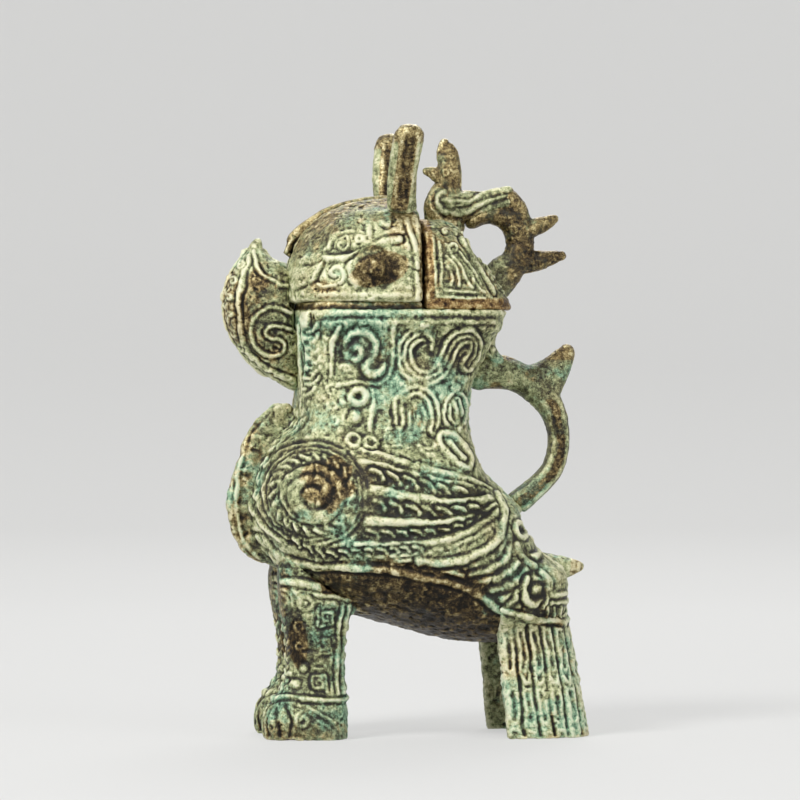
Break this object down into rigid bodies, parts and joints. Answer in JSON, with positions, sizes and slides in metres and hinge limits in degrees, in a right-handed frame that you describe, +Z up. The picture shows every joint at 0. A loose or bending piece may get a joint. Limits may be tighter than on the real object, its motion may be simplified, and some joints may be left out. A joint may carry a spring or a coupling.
{
  "type": "owl-shaped lidded bronze wine vessel",
  "caption": "Small hollow bronze wine vessel cast as a standing owl on legs and a broad tail, with a lift-off rear-of-head lid, bird and dragon knob and a strap handle.",
  "frame": {"origin": "on the ground, in the middle of the box round the whole vessel", "axes": "+Z up from the ground to the tips of the horns; -Y is the way the owl faces; +X is the owl's left side"},
  "size_m": [0.064, 0.101, 0.1679],
  "materials": {
    "bronze_body": "matt cream and green patina over dark bronze",
    "bronze_head": "matt cream and green patina over dark bronze",
    "bronze_legs": "matt olive and cream patina over dark bronze",
    "bronze_handle": "smooth blue-green patina",
    "bronze_lid": "brown bronze with cream patina on the high lines",
    "bronze_worn": "dark brown bronze, rubbed bright on the tips"
  },
  "bodies": {
    "vessel": {"vessel_body": "bronze_body", "head_front": "bronze_head", "beak": "bronze_head", "horn_left": "bronze_worn", "horn_right": "bronze_worn", "leg_left": "bronze_legs", "leg_right": "bronze_legs", "tail": "bronze_legs", "handle": "bronze_handle"},
    "lid": {"lid": "bronze_lid", "lid_bird": "bronze_worn", "lid_dragon": "bronze_worn"}
  },
  "joints": [
    {"name": "lid_lift", "type": "slide", "parent": "vessel", "child": "lid", "axis": [0, 0, 1], "range_m": [0, 0.035]}
  ]
}
